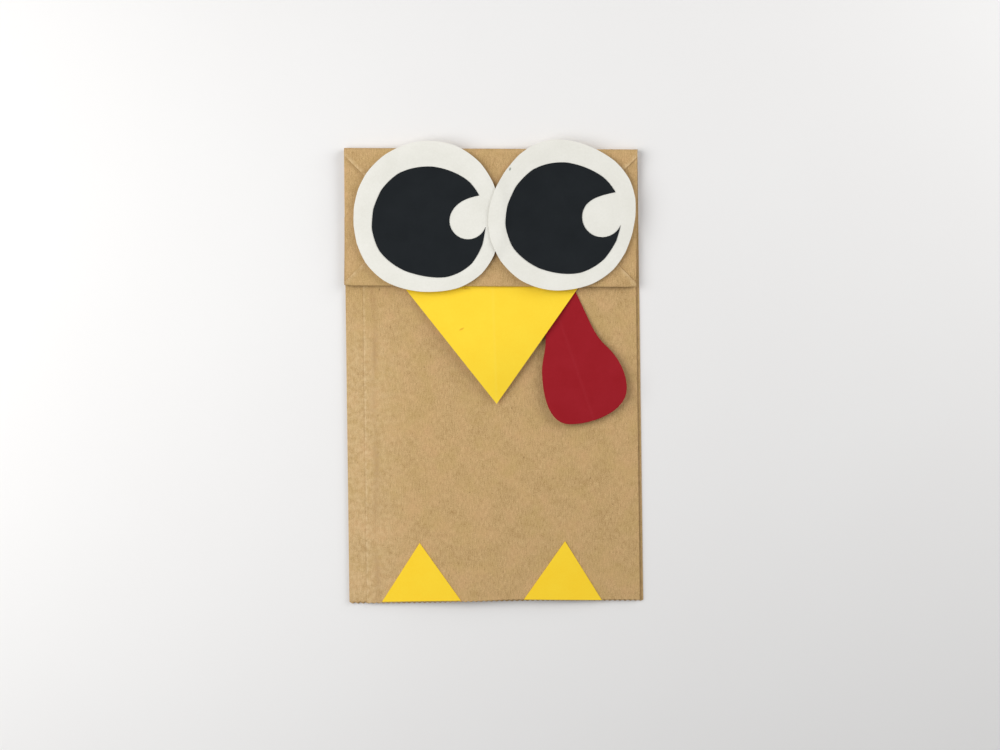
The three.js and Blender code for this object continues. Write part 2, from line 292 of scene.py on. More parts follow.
def toothed(start, end, y, wander):
    """The cut of the open end from start to end: teeth that point down from y, on a wandering line."""
    count = round(abs(end - start) / TOOTH_PITCH)
    points = []
    for i in range(2 * count + 1):
        x = start + (end - start) * i / (2 * count)
        points.append((x, y + wander(x) + (TOOTH_DEPTH if i % 2 == 0 else 0.0)))
    return points


def follow_grid(outline, columns, rows):
    """The outline with a point added wherever a side crosses a grid line, so that its sides can bend."""
    points = []
    for a, b in zip(outline, outline[1:] + outline[:1]):
        axis, lines = (1, rows) if abs(b[1] - a[1]) >= abs(b[0] - a[0]) else (0, columns)
        points.append(a)
        if abs(b[axis] - a[axis]) < 0.4:
            continue
        crossings = sorted((line - a[axis]) / (b[axis] - a[axis]) for line in lines)
        margin = 0.15 / abs(b[axis] - a[axis])
        for t in crossings:
            if margin < t < 1 - margin:
                points.append((a[0] + (b[0] - a[0]) * t, a[1] + (b[1] - a[1]) * t))
    return points


def fill_outline(outline, columns, rows, margin=0.5):
    """Flat points and triangles that fill an outline, on its own points and on a grid inside it."""
    outline = follow_grid(outline, columns, rows)
    edge = np.array(outline, float)
    grid = np.stack(np.meshgrid(columns, rows), -1).reshape(-1, 2)
    inside = np.zeros(len(grid), bool)
    nearest = np.full(len(grid), 1e9)
    for a, b in zip(edge, np.roll(edge, -1, axis=0)):
        spans = (a[1] > grid[:, 1]) != (b[1] > grid[:, 1])
        rise = b[1] - a[1] if abs(b[1] - a[1]) > 1e-12 else 1e-12
        inside ^= spans & (grid[:, 0] < a[0] + (grid[:, 1] - a[1]) * (b[0] - a[0]) / rise)
        side = b - a
        along = np.clip((grid - a) @ side / max(side @ side, 1e-12), 0, 1)
        nearest = np.minimum(nearest, np.linalg.norm(grid - a - along[:, None] * side, axis=1))
    points = np.vstack([edge, grid[inside & (nearest > margin)]])
    ring = [list(range(len(edge)))]
    made = delaunay_2d_cdt([Vector(p) for p in points], [], ring, 1, 1e-5)
    return np.array([tuple(v) for v in made[0]]), [list(f) for f in made[2]]


def face_normals(points, faces):
    corners = points[np.array(faces)]
    return np.cross(corners[:, 1] - corners[:, 0], corners[:, 2] - corners[:, 0])


def paper(name, outline, columns, rows, shape, material, thickness, offset=0.0, **marks):
    """A cut and bent sheet of paper. The outline is flat; shape(x, y) gives the bent middle surface; all are
    in millimetres. offset moves the sheet along its own normal, as for the lower of two pasted layers. Each
    mark is a function of the flat place, such as paste, or the mark of painted light and highlights, that
    the material looks up."""
    flat, faces = fill_outline(outline, columns, rows)
    middle = np.stack(shape(flat[:, 0], flat[:, 1]), -1)
    across = face_normals(middle, faces)
    normals = np.zeros_like(middle)
    for corner in range(3):
        np.add.at(normals, np.array(faces)[:, corner], across)
    normals /= np.maximum(np.linalg.norm(normals, axis=1, keepdims=True), 1e-12)
    upper = middle + normals * (offset + thickness / 2)
    lower = middle + normals * (offset - thickness / 2)
    count = len(flat)
    sides = {}
    for face in faces:
        for a, b in zip(face, face[1:] + face[:1]):
            sides[(a, b)] = True
    rim = [(a, b) for a, b in sides if (b, a) not in sides]
    all_faces = faces + [[i + count for i in reversed(f)] for f in faces]
    all_faces += [[b, a, a + count, b + count] for a, b in rim]
    mesh = bpy.data.meshes.new(name)
    mesh.from_pydata((np.vstack([upper, lower]) * MM).tolist(), [], all_faces)
    mesh.polygons.foreach_set("use_smooth", [True] * len(mesh.polygons))
    sharp = {tuple(sorted(pair)) for pair in rim} | {tuple(sorted((a + count, b + count))) for a, b in rim}
    edges = mesh.attributes.new("sharp_edge", "BOOLEAN", "EDGE")
    edges.data.foreach_set("value", [tuple(sorted(e.vertices)) in sharp for e in mesh.edges])
    spread = np.vstack([np.c_[flat, np.zeros(count)], np.c_[flat, np.full(count, UNDERSIDE_PATTERN)]])
    coordinates = mesh.attributes.new("flat", "FLOAT_VECTOR", "POINT")
    coordinates.data.foreach_set("vector", spread.astype(np.float32).ravel())
    for mark, amount in marks.items():
        marked = mesh.attributes.new(mark, "FLOAT", "POINT")
        marked.data.foreach_set("value", np.tile(amount(flat[:, 0], flat[:, 1]), 2).astype(np.float32))
    mesh.materials.append(material)
    piece = bpy.data.objects.new(name, mesh)
    scene.collection.objects.link(piece)
    return piece


def lean(y):
    """How far the body is over to the left at that height: it lies three quarters of a degree askew."""
    return -BODY_LEAN * (y - open_end)


def ripple(x, y, size, height):
    """Gentle unevenness of handled paper, about size across."""
    first = np.sin(x / size + 0.7) * np.cos(y / size * 0.8 + 0.4)
    second = np.sin((x + y) / size * 0.6 + 2.1)
    return height * (0.6 * first + 0.4 * second)


def smooth_step(t):
    t = np.clip(t, 0.0, 1.0)
    return t * t * (3 - 2 * t)


back_low, back_high = box_mm("back_panel")
upper_low, upper_high = box_mm("upper_bottom_flap")
open_end = back_low[1]
top_edge = upper_high[1]
fold_radius = (HEAD_FOLD_LEVEL - BACK_LEVEL) / 2
fold_centre = (top_edge - fold_radius, BACK_LEVEL + fold_radius)
half_roll = math.pi / 2 * fold_radius
head_middle = (upper_low[0] + upper_high[0]) / 2


def back_shape(x, s):
    """Flat up to the fold, then up round the lower half of it."""
    turn = np.clip((s - fold_centre[0]) / fold_radius, 0.0, math.pi / 2)
    lift = BACK_END_LIFT * (1 + np.sin(x / 21.0)) * smooth_step((-60.0 - s) / 40)
    y = np.minimum(s, fold_centre[0]) + fold_radius * np.sin(turn)
    z = fold_centre[1] - fold_radius * np.cos(turn) + lift
    aside = BACK_ASIDE + BACK_SPREAD * (x - back_low[0]) / (back_high[0] - back_low[0])
    across = x + aside + lean(y)
    askew = HEAD_TILT * (across - head_middle) * smooth_step((s - fold_centre[0] + 12.0) / 12)
    return across, y - askew, z


def back_cut(x):
    """How the knife wandered along the back's open end."""
    return OPEN_END_TILT * x + 0.25 * math.sin(x / 19 + 0.5)


back_end = fold_centre[0] + half_roll
back_outline = toothed(back_low[0], back_high[0], open_end, back_cut)
back_outline += [(back_high[0], back_end), (back_low[0], back_end)]
back_piece = paper(
    "back_of_bag", back_outline, steps(back_low[0], back_high[0], 3.0),
    steps(open_end + 2, fold_centre[0], 3.0) + steps(fold_centre[0] + 0.4, back_end, 0.45),
    back_shape, KRAFT, KRAFT_THICKNESS)
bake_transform(back_piece)
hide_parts("back_panel")


# ---- Gussets ----
# Each side of the bag is a pleat: it is creased down its middle and folded in between back and front.
# At the top it runs out to a point along a 45 degree crease, where it is folded in under the head.
GUSSET_OVER_BACK = 0.28
GUSSET_UNDER_FRONT = 1.2
PLEAT_TIGHTNESS = 0.35
FRONT_ASIDE = 0.3
FRONT_SHRINK = 1.0
gusset_depth = (upper_high[1] - box_mm("lower_bottom_flap")[0][1]) / 2
front_low, front_high = box_mm("front_panel")
lap_low, lap_high = box_mm("seam_lap")
lining_fold = front_high[1]


def add_gusset(side, back_edge, front_edge):
    name = "gusset_left" if side < 0 else "gusset_right"
    width = 2 * gusset_depth

    def shape(t, y):
        inward = gusset_depth - np.sqrt((t - gusset_depth) ** 2 + PLEAT_TIGHTNESS ** 2)
        x = back_edge + (front_edge - back_edge) * t / width - side * inward
        z = GUSSET_OVER_BACK + (GUSSET_UNDER_FRONT - GUSSET_OVER_BACK) * t / width
        return x + lean(y), y, z

    cut = toothed(0.0, width, open_end + 0.4, lambda t: OPEN_END_TILT * back_edge + 0.2 * math.sin(t / 11.0))
    outline = cut + [(width, lining_fold), (gusset_depth, lining_fold), (0.0, lining_fold + gusset_depth)]
    if side > 0:
        outline = outline[::-1]
    crease = [gusset_depth + d for d in (-0.9, -0.45, 0.0, 0.45, 0.9)]
    columns = steps(0, gusset_depth - 2, 3.0) + crease + steps(gusset_depth + 2, width, 3.0)
    piece = paper(name, outline, columns, steps(open_end + 2.5, top_edge - 4, 3.0), shape, KRAFT,
                  KRAFT_THICKNESS)
    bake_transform(piece)
    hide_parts(name + "_rear", name + "_front")


add_gusset(-1, back_low[0] + BACK_ASIDE, lap_low[0] + FRONT_ASIDE)
add_gusset(1, back_high[0] + BACK_ASIDE + BACK_SPREAD, front_high[0] + FRONT_ASIDE - FRONT_SHRINK)


# ---- Front panel and mouth lining ----
# One stretch of paper: the front of the bag from the open end up to a crease under the head, then folded
# back down to the lip as the lining of the mouth. It bulges a little, most towards the open end.
FRONT_LEVEL = 1.55
LINING_LEVEL = 2.65
LINING_LIP_LEVEL = 2.5
CROWN_START = 20.0
CRUMPLE = 0.1
CRUMPLE_SIZE = 23.0
SEAM_INSET = 0.5
SEAM_SPRING = 0.14
PASTE_INSET = 4.6
# painted highlight along the seam's cut edge, where it catches the light
SEAM_EDGE_HIGHLIGHT = 0.45
# painted light: the bag's left side, nearest the left lamp, is painted paler, fading out before the lip
LEFT_SIDE_LIGHT = 0.3
LEFT_SIDE_LIGHT_WIDTH = 14.0
LEFT_SIDE_LIGHT_FADE = 40.0
lip_edge = box_mm("lower_bottom_flap")[0][1]
front_middle = (lap_low[0] + front_high[0]) / 2
bag_width = upper_high[0] - upper_low[0]
crown_height = 0.38 * (front_high[2] - lap_low[2])


def front_height(x, y):
    """Height of the middle of the front's paper above the table."""
    along = smooth_step((CROWN_START - y) / (CROWN_START - open_end))
    across = np.cos(np.pi * np.clip((x - front_middle) / bag_width, -0.5, 0.5)) ** 2
    crumpled = ripple(x, y, CRUMPLE_SIZE, CRUMPLE * (1 + 3 * along))
    return FRONT_LEVEL + (crown_height * along + crumpled) * across


fold_start = lining_fold - (LINING_LEVEL - FRONT_LEVEL) / 2
lining_radius = (LINING_LEVEL - FRONT_LEVEL) / 2
lining_start = fold_start + math.pi * lining_radius
lining_end = lining_start + fold_start - lip_edge - 0.6


def front_shape(x, s):
    """Up the front, over the crease, and back down to the lip, sliding sideways to line up with the head."""
    on_front = s < fold_start
    on_lining = s > lining_start
    turn = np.clip((s - fold_start) / lining_radius, 0.0, math.pi)
    down = np.clip(s - lining_start, 0.0, None)
    y = np.where(on_front, s, fold_start + lining_radius * np.sin(turn) - down)
    base = np.where(on_front, front_height(x, np.minimum(s, fold_start)), front_height(x, fold_start))
    lining = LINING_LEVEL + (LINING_LIP_LEVEL - LINING_LEVEL) * down / (lining_end - lining_start)
    z = np.where(on_lining, lining, base + (LINING_LEVEL - base) * (1 - np.cos(turn)) / 2)
    on_head = smooth_step((s - fold_start) / (lining_end - fold_start))
    aside = FRONT_ASIDE - FRONT_SHRINK * (x - lap_low[0]) / (front_high[0] - lap_low[0])
    slide = (aside + lean(y)) * (1 - on_head) + (head_middle - front_middle) * on_head
    return x + slide, y, z


def flat_places(piece):
    """Where each point of a sheet lies in its flat outline."""
    places = np.zeros(3 * len(piece.data.vertices), np.float32)
    piece.data.attributes["flat"].data.foreach_get("vector", places)
    return places.reshape(-1, 3)[:, 0], places.reshape(-1, 3)[:, 1]


def follow_mouth(piece):
    """On the puppet the lining's end turns with the head, the crease at its other end turns about two thirds
    as far in the middle and not at all at the sides, and below it the front lifts like a tent, less towards
    the feet. Here it only reads where each point of the sheet lies in its flat outline, and moves nothing."""
    x, s = flat_places(piece)


def front_cut(x):
    """How the knife wandered along the front's open end."""
    return OPEN_END_TILT * x + 0.35 * math.sin(x / 16.0 + 1.0) + 0.2 * math.sin(x / 7.0)


seam_edge = front_low[0] + SEAM_INSET
paste_at = seam_edge + PASTE_INSET


def paste_line(x, s):
    """The line of paste along the seam shows through darker, broken and not quite straight."""
    wander = paste_at + 0.5 * np.sin(s / 9.0)
    return (0.5 + 0.45 * np.sin(s / 5.3) * np.sin(s / 13.7 + 1)) * np.exp(-((x - wander) / 1.3) ** 2)


def left_side_painted_light(x, s):
    """Painted light: the paper is painted a little paler along the bag's left side, where the left lamp
    falls, but not close to the lip, where the shade under the head stays.
    """
    below_lip = smooth_step((lip_edge - s) / LEFT_SIDE_LIGHT_FADE)
    return LEFT_SIDE_LIGHT * below_lip * np.exp(-(np.clip(x - seam_edge, 0, None) / LEFT_SIDE_LIGHT_WIDTH) ** 2)


# painted light: the paler left side, plus a painted highlight along the seam's cut edge
def seam_painted_light(x, s):
    return left_side_painted_light(x, s) + SEAM_EDGE_HIGHLIGHT * np.exp(-((x - seam_edge) / 0.6) ** 2)


def panel_shape(x, s):
    """The pasted cut edge has sprung up by a paper's thickness or two, here more and there less."""
    across, along, height = front_shape(x, s)
    sprung = (0.6 + 0.4 * np.sin(s / 4.7)) * np.exp(-(x - seam_edge) / 0.8) * (s < fold_start - 4)
    return across, along, height + SEAM_SPRING * sprung


front_rows = steps(open_end + 2.5, fold_start - 2, 2.5) + steps(fold_start - 1, lining_start + 1, 0.35)
front_rows += steps(lining_start + 3, lining_end, 2.5)
seam_columns = [seam_edge + d for d in (0.7, 1.3, 2.2, 3.2, 4.1, 4.9, 5.7, 6.6, 7.8, 9.5)]
front_outline = toothed(seam_edge, front_high[0], open_end + 0.5, front_cut)
front_outline += [(front_high[0], lining_end), (seam_edge, lining_end)]
front_piece = paper(
    "front_of_bag", front_outline, seam_columns + steps(seam_edge + 12, front_high[0], 2.5), front_rows,
    panel_shape, KRAFT, KRAFT_THICKNESS, paste=paste_line, worn=seam_painted_light)
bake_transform(front_piece)
follow_mouth(front_piece)
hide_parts("front_panel", "mouth_lining")


# ---- Seam lap ----
# The other edge of the same sheet, a strip down the left side. The front panel's cut edge is pasted over it,
# which makes the bag's one lengthwise seam.
lap_outline = toothed(lap_low[0], lap_high[0], open_end + 0.9, front_cut)
lap_outline += [(lap_high[0], lining_end), (lap_low[0], lining_end)]
lap_piece = paper(
    "seam_lap_strip", lap_outline, steps(lap_low[0], lap_high[0], 2.5), front_rows, front_shape, KRAFT,
    KRAFT_THICKNESS, offset=-1.5 * KRAFT_THICKNESS, worn=left_side_painted_light)
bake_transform(lap_piece)
follow_mouth(lap_piece)
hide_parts("seam_lap")


# ---- Head ----
# The bag's block bottom, folded down over the front: two flaps with 45 degree ends pasted over each other
# and over the triangles at the two sides. The top fold and the lip are its two long creases.
LIP_LEVEL = 4.0
FLAP_STEP = 0.16
LIP_ROLL = 0.32
LIP_TURN = math.radians(165)
EDGE_CURL = 0.38
CURL_WIDTH = 1.3
EYES_REACH = 45.0
# painted highlight along the flaps' 45 degree cut ends, where they catch the light
FLAP_EDGE_HIGHLIGHT = 0.5
FLAP_EDGE_HIGHLIGHT_WIDTH = 1.2
UPPER_SHOULDER_DOWN = 3.5
LOWER_SHOULDER_UP = 1.8
HEAD_PLUMP = 0.5
HEAD_CRUMPLE = 0.12
HEAD_TAPER = 0.008


def head_height(x, y):
    """Height of the head's uppermost paper: lower at the lip than at the top fold, plump between."""
    up = np.clip((y - lip_edge) / (fold_centre[0] - lip_edge), 0.0, 1.0)
    across = np.cos(np.pi * np.clip((x - head_middle) / bag_width, -0.5, 0.5)) ** 2
    plump = (HEAD_PLUMP * across + ripple(x, y, 15.0, HEAD_CRUMPLE)) * np.sin(np.pi * up)
    return LIP_LEVEL + (HEAD_FOLD_LEVEL - LIP_LEVEL) * up + plump


def head_place(x, y):
    """The head was folded over by hand: its edges are a little askew and it is narrower at the lip."""
    down = (top_edge - y) / (top_edge - lip_edge)
    return head_middle + (x - head_middle) * (1 - HEAD_TAPER * down), y - HEAD_TILT * (x - head_middle)


def edge_curl(x, beyond):
    """How far a flap's 45 degree end stands up, by the distance in from its cut; not under the eyes."""
    free = smooth_step((np.abs(x - head_middle) - EYES_REACH) / 7.0)
    return EDGE_CURL * free * np.exp(-np.clip(beyond, 0, None) / CURL_WIDTH)


def flap_edge_highlight(beyond):
    """Painted highlight: the cut of a flap's end is painted paler, as where it catches the light."""
    return FLAP_EDGE_HIGHLIGHT * np.exp(-(beyond / FLAP_EDGE_HIGHLIGHT_WIDTH) ** 2)


def flap_outline(fold_s, shoulder_s, free_s):
    """A flap seen flat: its free edge at free_s, cut ends at 45 degrees, full width from the shoulder on."""
    half = bag_width / 2
    free_half = half - abs(free_s - shoulder_s)
    left, right = head_middle - half, head_middle + half
    return [(head_middle - free_half, free_s), (left, shoulder_s), (left, fold_s),
            (right, fold_s), (right, shoulder_s), (head_middle + free_half, free_s)]


flap_reach = upper_high[1] - upper_low[1]
upper_shoulder = top_edge - UPPER_SHOULDER_DOWN
upper_free = top_edge - flap_reach


def from_upper_cut(x, s):
    """Distance in from the upper flap's 45 degree cuts, measured along x."""
    return (bag_width / 2 - np.abs(x - head_middle)) + (s - upper_shoulder)


def upper_flap_shape(x, s):
    """s runs from the free edge up to the top fold, and on over its upper half."""
    turn = np.clip((s - fold_centre[0]) / fold_radius, 0.0, math.pi / 2)
    y = np.minimum(s, fold_centre[0]) + fold_radius * np.sin(turn)
    from_cut = from_upper_cut(x, s)
    top = head_height(x, np.minimum(s, fold_centre[0])) + edge_curl(x, from_cut)
    z = np.where(turn > 0, fold_centre[1] + fold_radius * np.cos(turn), top)
    return *head_place(x, y), z


upper_rows = steps(upper_free + 2, fold_centre[0] - 1.5, 2.5)
upper_rows += steps(fold_centre[0], fold_centre[0] + half_roll, 0.45)
upper_outline = flap_outline(fold_centre[0] + half_roll, upper_shoulder, upper_free)[::-1]
head_columns = steps(upper_low[0] + 0.5, upper_high[0] - 0.5, 2.5)
upper_piece = paper(
    "upper_flap_and_top_fold", upper_outline, head_columns, upper_rows, upper_flap_shape, KRAFT,
    KRAFT_THICKNESS, worn=lambda x, s: flap_edge_highlight(from_upper_cut(x, s)))
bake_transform(upper_piece)
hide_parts("upper_bottom_flap")

lower_shoulder = lip_edge + LOWER_SHOULDER_UP
lower_free = lip_edge + flap_reach
lip_centre_y = lip_edge + LIP_ROLL


def from_lower_cut(x, s):
    """Distance in from the lower flap's 45 degree cuts, measured along x."""
    return (bag_width / 2 - np.abs(x - head_middle)) - (s - lower_shoulder)


def lower_flap_shape(x, s):
    """s runs from the free edge at the top down to the lip, and on round it."""
    turn = np.clip((lip_centre_y - s) / LIP_ROLL, 0.0, LIP_TURN)
    y = np.maximum(s, lip_centre_y) - LIP_ROLL * np.sin(turn)
    from_cut = from_lower_cut(x, s)
    top = head_height(x, np.maximum(s, lip_centre_y)) - FLAP_STEP + edge_curl(x, from_cut)
    return *head_place(x, y), top - LIP_ROLL * (1 - np.cos(turn))


lip_length = LIP_ROLL * LIP_TURN
lower_rows = steps(lip_centre_y - lip_length + 0.1, lip_centre_y, 0.15)
lower_rows += steps(lip_edge + 2, lower_free, 2.5)
lower_outline = flap_outline(lip_centre_y - lip_length, lower_shoulder, lower_free)
lower_piece = paper(
    "lower_flap_and_lip", lower_outline, head_columns, lower_rows, lower_flap_shape, KRAFT,
    KRAFT_THICKNESS, worn=lambda x, s: flap_edge_highlight(from_lower_cut(x, s)))
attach(lower_piece, "head")
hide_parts("lower_bottom_flap")


def add_end_triangle(side, node):
    """The bottom's side end: a triangle folded in along the head's side, under both flaps."""
    low, high = box_mm(node)
    edge = low[0] if side < 0 else high[0]
    apex = high[0] if side < 0 else low[0]
    middle = (low[1] + high[1]) / 2

    def shape(x, y):
        out = np.abs(x - head_middle) - (bag_width / 2 - 1.2)
        fold = 0.35 * smooth_step(out / 1.2)
        return *head_place(x, y), head_height(x, y) - 2 * FLAP_STEP - fold

    outline = [(edge, lip_edge + 0.4), (edge, top_edge - 1.6), (apex, middle)]
    if side < 0:
        outline = outline[::-1]
    columns = [edge - side * d for d in (0.3, 0.6, 0.9, 1.2)] + steps(edge - side * 3, apex, 2.5)
    piece = paper(node.replace("end_triangle", "bottom_end"), outline, sorted(columns),
                  steps(lip_edge + 1, top_edge - 3, 2.5), shape, KRAFT, KRAFT_THICKNESS)
    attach(piece, "head")
    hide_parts(node)


add_end_triangle(-1, "end_triangle_left")
add_end_triangle(1, "end_triangle_right")


# ---- Cheek webs ----
# The top end of each gusset, hidden while the mouth is shut: it is doubled over along a 45 degree crease
# between the head and the lining. On the puppet it spreads out at the corner of the mouth as the head is
# lifted; here it is shaped only as it lies with the mouth shut.
CHEEK_UNDER_HEAD = 0.5
CHEEK_OVER_LINING = 0.14
CHEEK_TURN_IN = 5.0
CHEEK_LIFT = 0.3
CHEEK_CRUMPLED = 0.97


def add_cheek(side, body_edge, head_edge):
    """The web seen flat: t runs from the back's edge to the front's edge, as in the gusset, and s from the
    crease of the lining up to the bottom of the bag."""
    depth = gusset_depth
    width = 2 * depth

    def shape(t, s):
        under_head = t - depth <= s
        inward = np.where(under_head, depth - s, width - t)
        y = np.where(under_head, top_edge - fold_radius / 2 - t * CHEEK_CRUMPLED,
                     lining_fold - s * CHEEK_CRUMPLED)
        from_gusset = np.where(under_head, np.maximum(t + s - depth, 0) / math.sqrt(2), s * 5)
        risen = smooth_step(from_gusset / CHEEK_TURN_IN)
        edge = body_edge + lean(y) + (head_edge - body_edge - lean(y)) * risen
        x = edge - side * inward
        lining = LINING_LEVEL + (LINING_LIP_LEVEL - LINING_LEVEL) * (lining_fold - y) / depth
        lining = lining + CHEEK_OVER_LINING
        top = np.where(under_head, np.maximum(head_height(x, y) - CHEEK_UNDER_HEAD, lining + 0.02), lining)
        fold = np.exp(-np.abs(t - depth - s) / 0.6)
        top = top + (lining - top) * fold * 0.8
        low = GUSSET_OVER_BACK + (GUSSET_UNDER_FRONT - GUSSET_OVER_BACK) * np.where(under_head, 0.3, 0.9)
        low = low + CHEEK_LIFT
        return x, y - HEAD_TILT * (x - head_middle) * risen, low + (top - low) * risen

    outline = [(0.0, depth), (depth, 0.0), (width, 0.0), (width, depth)]
    if side < 0:
        outline = outline[::-1]
    name = "cheek_left" if side < 0 else "cheek_right"
    piece = paper(name, outline, steps(1.5, width - 1.5, 1.5), steps(1.5, depth - 1.5, 1.5), shape, KRAFT,
                  KRAFT_THICKNESS)
    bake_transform(piece)
    t, s = flat_places(piece)
    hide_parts(name.replace("cheek", "cheek_web"))


add_cheek(-1, lap_low[0] + FRONT_ASIDE + 0.5, upper_low[0] + 0.6)
add_cheek(1, front_high[0] + FRONT_ASIDE - FRONT_SHRINK - 0.5, upper_high[0] - 0.6)


# ---- Construction paper ----
# The face is cut from sugar paper, a soft pulpy craft paper: dyed through, quite matt, with short fibres
# lying every way that show as faint paler and darker flecks.
CARD_THICKNESS = 0.2
# the real pulp is finer, and is drawn in clumps that are coarse enough to show
PULP_SIZE = 1.1
PULP_CLOUD_SIZE = 11.0
PULP_GRAIN_SIZE = 0.25


def construction_paper(name, colour, fleck, strength, crease=None, scuffs_and_painted_shadow=()):
    """crease is the flat coordinate whose zero is a crease, and the colour of the painted highlight along
    it.
    Each scuff or painted shadow is a colour, its place, its turn in degrees, and its length and width."""
    material, tree = start_material(name)
    flat = add(tree, "ShaderNodeAttribute", attribute_name="flat").outputs["Vector"]
    pulp = add(tree, "ShaderNodeTexNoise", {
        "Vector": flat, "Scale": 1 / PULP_SIZE, "Detail": 5.0, "Roughness": 0.65, "Distortion": 0.8,
    }).outputs["Fac"]
    cloud = add(tree, "ShaderNodeTexNoise", {
        "Vector": flat, "Scale": 1 / PULP_CLOUD_SIZE, "Detail": 2.0,
    }).outputs["Fac"]
    grain = add(tree, "ShaderNodeTexNoise", {
        "Vector": flat, "Scale": 1 / PULP_GRAIN_SIZE, "Detail": 1.0,
    }).outputs["Fac"]
    tone = add(tree, "ShaderNodeMath", {0: pulp, 1: cloud}, operation="ADD").outputs["Value"]
    amount = add(tree, "ShaderNodeMapRange", {
        "Value": tone, "From Min": 0.75, "From Max": 1.3, "To Min": 0.0, "To Max": strength,
    }).outputs["Result"]
    tint = add(tree, "ShaderNodeMix", {
        "Factor": amount, "A": linear_colour(colour), "B": linear_colour(fleck),
    }, data_type="RGBA").outputs["Result"]
    # a paler line along the crease: a painted highlight, as where the fold catches the light
    if crease:
        sides = add(tree, "ShaderNodeSeparateXYZ", {"Vector": flat}).outputs[crease[0]]
        away = add(tree, "ShaderNodeMath", {0: sides}, operation="ABSOLUTE").outputs["Value"]
        worn = add(tree, "ShaderNodeMapRange", {
            "Value": away, "From Min": 0.1, "From Max": 1.0, "To Min": 0.28, "To Max": 0.0,
        }).outputs["Result"]
        worn = add(tree, "ShaderNodeMath", {0: worn, 1: pulp}, operation="MULTIPLY").outputs["Value"]
        tint = add(tree, "ShaderNodeMix", {
            "Factor": worn, "A": tint, "B": linear_colour(crease[1]),
        }, data_type="RGBA").outputs["Result"]
    # each listed mark is painted into the colour: real scuffs, and on the beak one painted shadow
    for shade, place, turn, length, width in scuffs_and_painted_shadow:
        spot = add(tree, "ShaderNodeMapping", {
            "Vector": flat, "Location": (*place, 0.0), "Rotation": (0.0, 0.0, math.radians(turn)),
            "Scale": (length / 2, width / 2, 1000.0),
        }, vector_type="TEXTURE").outputs["Vector"]
        reach = add(tree, "ShaderNodeVectorMath", {0: spot}, operation="LENGTH").outputs["Value"]
        reach = add(tree, "ShaderNodeMath", {0: reach, 1: pulp}, operation="ADD").outputs["Value"]
        amount = add(tree, "ShaderNodeMapRange", {
            "Value": reach, "From Min": 0.8, "From Max": 1.5, "To Min": 0.75, "To Max": 0.0,
        }).outputs["Result"]
        tint = add(tree, "ShaderNodeMix", {
            "Factor": amount, "A": tint, "B": linear_colour(shade),
        }, data_type="RGBA").outputs["Result"]
    relief = add(tree, "ShaderNodeMath", {0: pulp, 1: grain}, operation="ADD").outputs["Value"]
    bump = add(tree, "ShaderNodeBump", {"Height": relief, "Strength": 0.3, "Distance": 0.05 * MM})
    rough = add(tree, "ShaderNodeMapRange", {
        "Value": pulp, "To Min": 0.75, "To Max": 0.95,
    }).outputs["Result"]
    shader = add(tree, "ShaderNodeBsdfPrincipled", {
        "Base Color": tint, "Roughness": rough, "IOR": 1.45, "Specular IOR Level": 0.2,
        "Normal": bump.outputs["Normal"],
    })
    add(tree, "ShaderNodeOutputMaterial", {"Surface": shader.outputs["BSDF"]})
    return material


# ---- Eyes ----
# Two big rounds of white construction paper, cut out by hand, so not quite true. The right one was pasted on
# last and overlaps the left. Both reach past the top fold and the lip, and their rims stand off a little.
WHITE_PAPER = construction_paper(
    "white_construction_paper", "#ECEAE1", "#DFDDD2", 0.55,
    scuffs_and_painted_shadow=[("#46665A", (6.7, 92.7), 20, 2.0, 1.2), ("#46665A", (7.2, 90.8), 70, 2.0, 1.1)])
EYE_PASTE = 0.25
EYE_RIM_LIFT = 1.7
SNIP_SHARE = 0.25
EYE_OVERLAP_GAP = 0.75
EYE_SNIPS = 19
EYE_POINTS = 110
EYE_CUT = {
    "left": [(2, 0.36, -2.9), (3, 0.47, -2.1), (4, 0.44, -3.0), (5, 0.13, 1.4)],
    "right": [(2, 0.65, 2.0), (3, 0.22, -0.8), (4, 0.4, 1.8), (5, 0.29, 2.6)],
}
eye_boxes = {side: box_mm("eye_white_" + side) for side in ("left", "right")}


def scissor_radius(angle, radius, wobble, snips):
    """The radius of a round that was cut by hand, in a number of nearly straight snips that are not quite
    even. The wobble is a list of (waves round it, height, phase)."""
    half = math.pi / snips
    within = np.mod(angle + 0.2 * np.sin(2 * angle + snips), 2 * half) - half
    flattened = 1 - SNIP_SHARE * ((1 + math.cos(half)) / 2 - math.cos(half) / np.cos(within))
    return radius * flattened + sum(high * np.cos(waves * angle - phase) for waves, high, phase in wobble)


def eye_cut(side):
    """The white's outline, stretched to fill its box."""
    (x0, y0, _), (x1, y1, _) = eye_boxes[side]
    angles = np.linspace(0, 2 * math.pi, EYE_POINTS, endpoint=False)
    radius = scissor_radius(angles, (x1 - x0 + y1 - y0) / 4, EYE_CUT[side], EYE_SNIPS)
    points = np.stack([radius * np.cos(angles), radius * np.sin(angles)], -1)
    low, high = points.min(axis=0), points.max(axis=0)
    points = (points - low) / (high - low) * [x1 - x0, y1 - y0] + [x0, y0]
    return [tuple(p) for p in points.tolist()]


def from_eye_middle(side, x, y):
    """Distance from the middle of the eye, as a share of its radius."""
    (x0, y0, _), (x1, y1, _) = eye_boxes[side]
    return np.hypot((x - (x0 + x1) / 2) / ((x1 - x0) / 2), (y - (y0 + y1) / 2) / ((y1 - y0) / 2))


def eye_height(side, x, y):
    """The left eye lies on the flaps; the right one climbs over the left one's edge."""
    lift = EYE_RIM_LIFT * smooth_step((from_eye_middle(side, x, y) - 0.45) / 0.55)
    own = head_height(x, y) + EYE_PASTE + lift
    if side == "left":
        return own
    over = eye_height("left", x, y) + EYE_OVERLAP_GAP
    return own + np.maximum(over - own, 0) * smooth_step((1.16 - from_eye_middle("left", x, y)) / 0.12)


